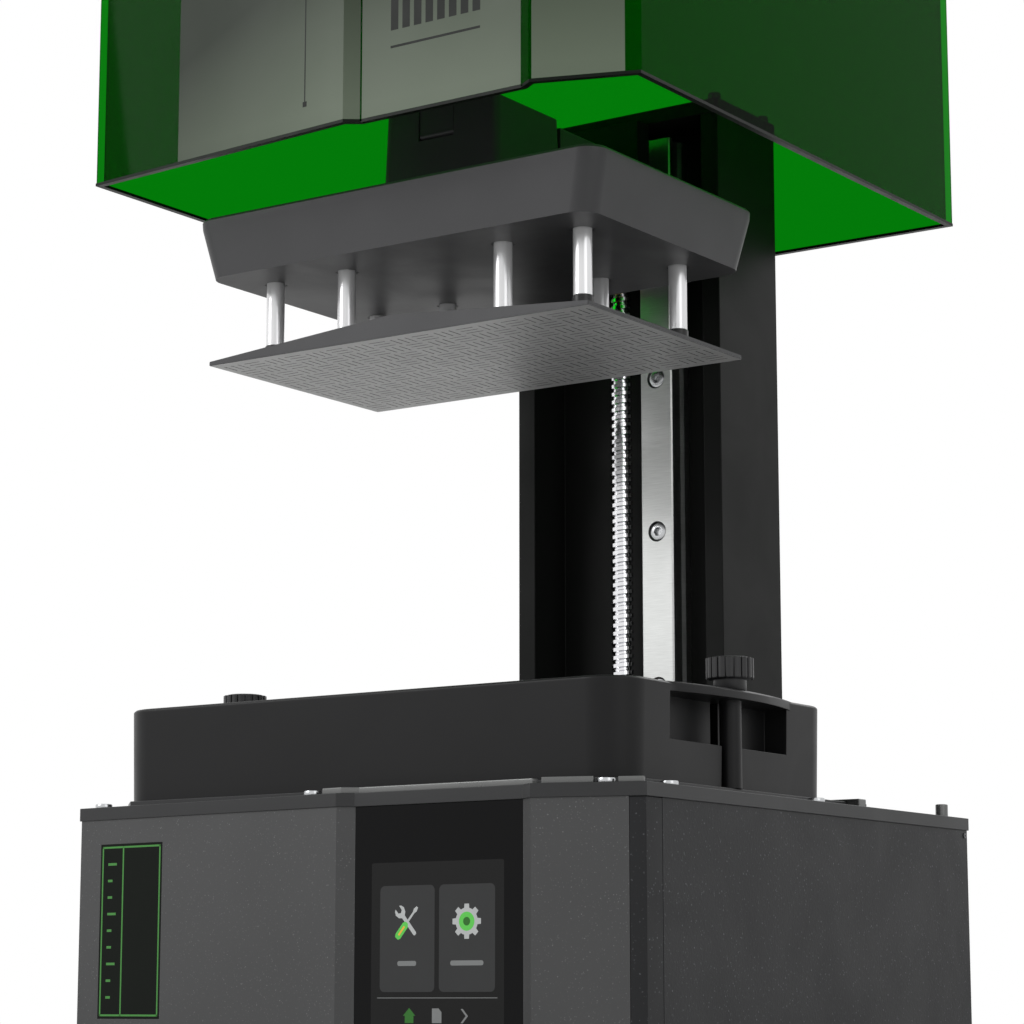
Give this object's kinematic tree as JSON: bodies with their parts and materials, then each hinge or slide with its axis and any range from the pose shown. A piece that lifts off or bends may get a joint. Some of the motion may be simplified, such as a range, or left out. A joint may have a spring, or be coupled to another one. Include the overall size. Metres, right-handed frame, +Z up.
{
  "type": "resin printer",
  "caption": "Desktop resin printer with a lifted cover, a sprung build platform on a lead screw column, a resin vat over a curing screen, and a wedge-fronted base.",
  "frame": {"origin": "on the table under the middle of the base's outline, seen from above", "axes": "+X to the right along the width, +Y from front to back, +Z up"},
  "size_m": [0.3274, 0.3342, 0.8664],
  "materials": {
    "base_paint": "textured",
    "fascia_paint": "painted metallic",
    "plate_paint": "painted satin",
    "housing_paint": "painted textured",
    "black_metal": "painted satin",
    "steel": "brushed",
    "chrome": "polished",
    "alu": "satin",
    "brass": "satin",
    "black_plastic": "matte",
    "red_plastic": "gloss",
    "green_plastic": "transparent",
    "print_ink": "satin",
    "badge_film": "gloss",
    "screen_glass": "polished",
    "clear_film": "clear",
    "board": "satin",
    "rubber": "matte"
  },
  "bodies": {
    "base": {"base_shell": "base_paint", "front_fascia": "fascia_paint", "corner_post": "base_paint", "bottom_plate": "black_metal", "rubber_feet": "rubber", "top_plate": "plate_paint", "top_plate_screws": "steel", "cover_locators": "alu", "side_screws": "steel", "front_glass": "screen_glass", "touch_display": "screen_glass", "badge_plate": "badge_film", "mask_screen": "screen_glass", "screen_glass": "screen_glass", "light_box": "alu", "collimating_lens": "clear_film", "led_board": "board", "heat_sink": "alu", "fan_frame": "black_plastic", "mainboard": "board", "power_supply": "steel", "power_inlet": "black_plastic", "switch_frame": "black_plastic", "usb_port": "steel", "vat_body": "black_metal", "vat_film": "clear_film", "vat_film_frame": "alu", "tower_body": "black_metal", "tower_cap": "black_metal", "tower_cap_screws": "steel", "guide_rail": "steel", "rail_screws": "steel", "stepper_motor": "black_metal", "screw_bearings": "black_metal", "limit_sensor": "black_plastic"},
    "carriage": {"rail_block": "steel", "screw_nut": "brass", "carriage_plate": "black_metal", "z_arm": "housing_paint", "mounting_block": "housing_paint", "latch_pin": "steel", "platform_housing": "housing_paint", "post_bushes": "black_plastic"},
    "build_plate": {"face_plate": "alu", "guide_posts": "chrome", "post_caps": "black_plastic", "post_collars": "steel", "plate_springs": "steel"},
    "drive_screw": {"lead_screw": "steel", "shaft_coupling": "alu", "motor_shaft": "steel"},
    "latch": {"release_latch": "housing_paint"},
    "left_knob": {"left_thumb_knob": "black_plastic", "left_thumb_screw": "steel"},
    "right_knob": {"right_thumb_knob": "black_plastic", "right_thumb_screw": "steel"},
    "rocker": {"switch_rocker": "red_plastic"},
    "fan": {"fan_rotor": "black_plastic"},
    "cover": {"cover_shell": "green_plastic", "cover_print": "print_ink"}
  },
  "joints": [
    {"name": "cover_lift", "type": "slide", "parent": "base", "child": "cover", "axis": [0, 0, 1], "range_m": [-0.3184, 0.075]},
    {"name": "z_travel", "type": "slide", "parent": "base", "child": "carriage", "axis": [0, 0, 1], "range_m": [-0.22, 0]},
    {"name": "screw_turn", "type": "hinge", "parent": "base", "child": "drive_screw", "pos_m": [-0.007, 0.1009, 0.35], "axis": [0, 0, 1], "range_deg": [-10, 18010]},
    {"name": "plate_float", "type": "slide", "parent": "carriage", "child": "build_plate", "axis": [0, 0, 1], "range_m": [0, 0.003], "stiffness_N_per_m": 12000, "springref_m": -0.004, "deforming": ["plate_springs"]},
    {"name": "latch_swing", "type": "hinge", "parent": "carriage", "child": "latch", "pos_m": [-0.0016, -0.07675, 0.4843], "axis": [1, 0, 0], "range_deg": [0, 25]},
    {"name": "left_knob_turn", "type": "hinge", "parent": "base", "child": "left_knob", "pos_m": [-0.147, -0.0481, 0.2], "axis": [0, 0, 1], "range_deg": [0, 1800]},
    {"name": "right_knob_turn", "type": "hinge", "parent": "base", "child": "right_knob", "pos_m": [0.147, -0.0481, 0.2], "axis": [0, 0, 1], "range_deg": [0, 1800]},
    {"name": "power_rock", "type": "hinge", "parent": "base", "child": "rocker", "pos_m": [0.07, 0.1603, 0.048], "axis": [1, 0, 0], "range_deg": [0, 12]},
    {"name": "fan_spin", "type": "hinge", "parent": "base", "child": "fan", "pos_m": [-0.092, 0.152, 0.078], "axis": [0, 1, 0], "continuous": true}
  ],
  "couplings": [
    {"joint": "screw_turn", "follows": "z_travel", "rad_per_m": -1428}
  ]
}
